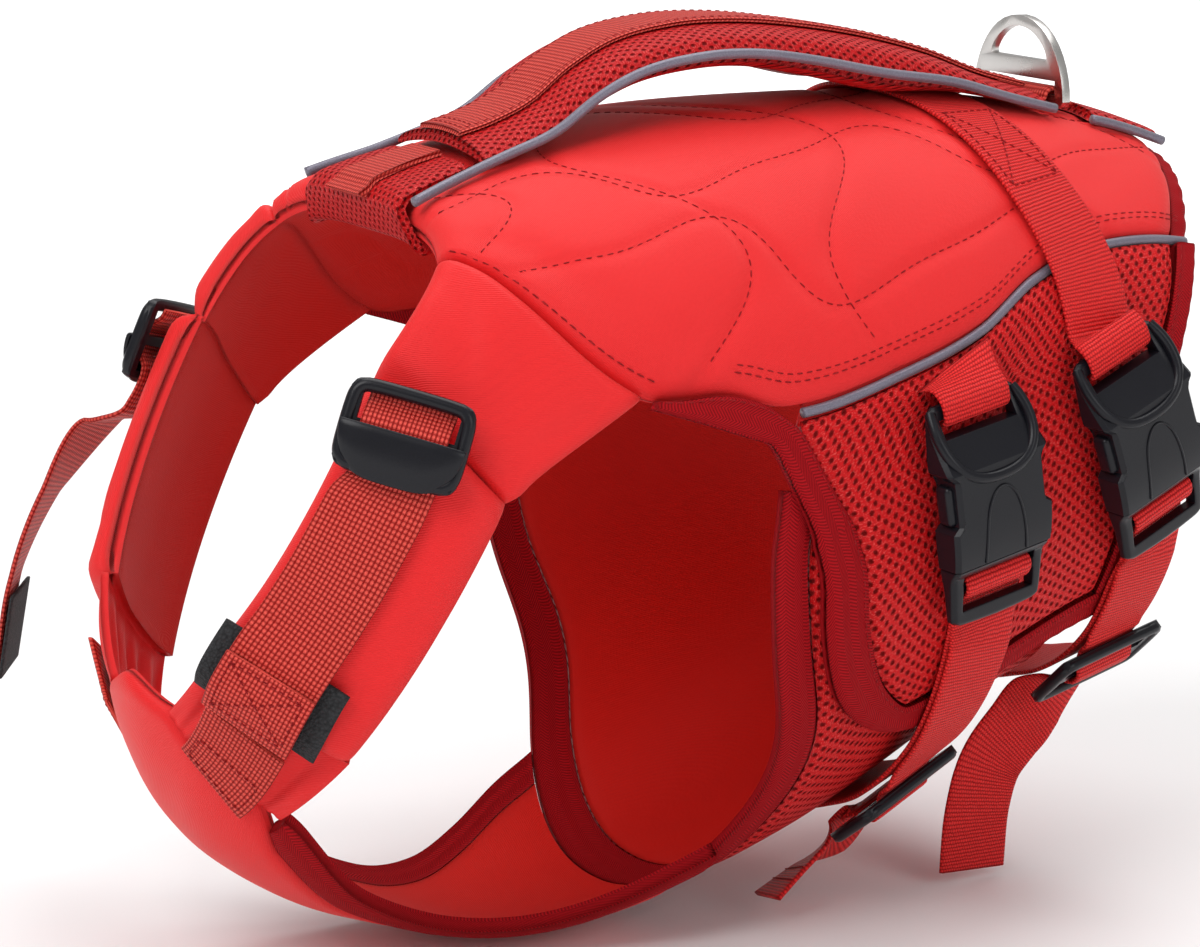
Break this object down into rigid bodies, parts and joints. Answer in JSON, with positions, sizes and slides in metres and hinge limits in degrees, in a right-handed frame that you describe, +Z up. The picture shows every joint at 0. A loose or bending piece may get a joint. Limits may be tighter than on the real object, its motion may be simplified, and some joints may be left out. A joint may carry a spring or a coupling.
{
  "type": "dog life jacket",
  "caption": "Dog life jacket in its worn shape: foam back with lifting handle, mesh sides, chest plate on padded straps, buckled belly straps and a leash ring.",
  "frame": {"origin": "the wearer's side of the back panel, on the spine at its crest, where it rests on the dog's back", "axes": "+Z up, -Y towards the dog's head, +X to the dog's left, the side with the buckles"},
  "size_m": [0.2254, 0.3664, 0.2779],
  "materials": {
    "fabric": "satin nylon",
    "air_mesh": "open spacer mesh",
    "binding": "herringbone tape",
    "webbing": "ribbed webbing",
    "piping": "reflective cord",
    "black_plastic": "satin",
    "steel": "satin",
    "hook_tape": "hook tape"
  },
  "bodies": {
    "jacket": {"back_panel": "fabric", "chest_plate": "fabric", "shoulder_flap_left": "fabric", "shoulder_flap_right": "fabric", "strap_sleeve_left": "fabric", "strap_sleeve_right": "fabric", "strap_tab_left": "fabric", "strap_tab_right": "fabric", "belly_panel": "air_mesh", "handle_arch": "air_mesh", "handle_base": "air_mesh", "handle_tail": "air_mesh", "side_panel_left": "air_mesh", "side_panel_right": "air_mesh", "back_rear_binding": "binding", "belly_front_binding": "binding", "chest_binding_left": "binding", "chest_binding_right": "binding", "side_binding_left": "binding", "side_binding_right": "binding", "side_rear_binding_left": "binding", "side_rear_binding_right": "binding", "handle_webbing": "webbing", "handle_base_webbing": "webbing", "ring_webbing": "webbing", "front_upper_webbing": "webbing", "front_strap_webbing": "webbing", "rear_strap_webbing": "webbing", "shoulder_webbing_left": "webbing", "shoulder_webbing_right": "webbing", "shoulder_webbing_fold": "webbing", "chest_webbing_left": "webbing", "chest_webbing_right": "webbing", "back_piping_left": "piping", "back_piping_right": "piping", "handle_piping_left": "piping", "handle_piping_right": "piping", "tail_piping_left": "piping", "tail_piping_right": "piping", "front_buckle_socket": "black_plastic", "front_buckle_plug": "black_plastic", "front_triglide": "black_plastic", "rear_buckle_socket": "black_plastic", "rear_buckle_plug": "black_plastic", "rear_triglide": "black_plastic", "shoulder_slider_left": "black_plastic", "shoulder_slider_right": "black_plastic", "hook_pad_left": "hook_tape", "hook_pad_right": "hook_tape"},
    "ring": {"leash_ring": "steel"}
  },
  "joints": [
    {"name": "ring_hinge", "type": "hinge", "parent": "jacket", "child": "ring", "pos_m": [0, 0.092, 0.0035], "axis": [-1, 0, 0], "range_deg": [-35, 75]}
  ]
}
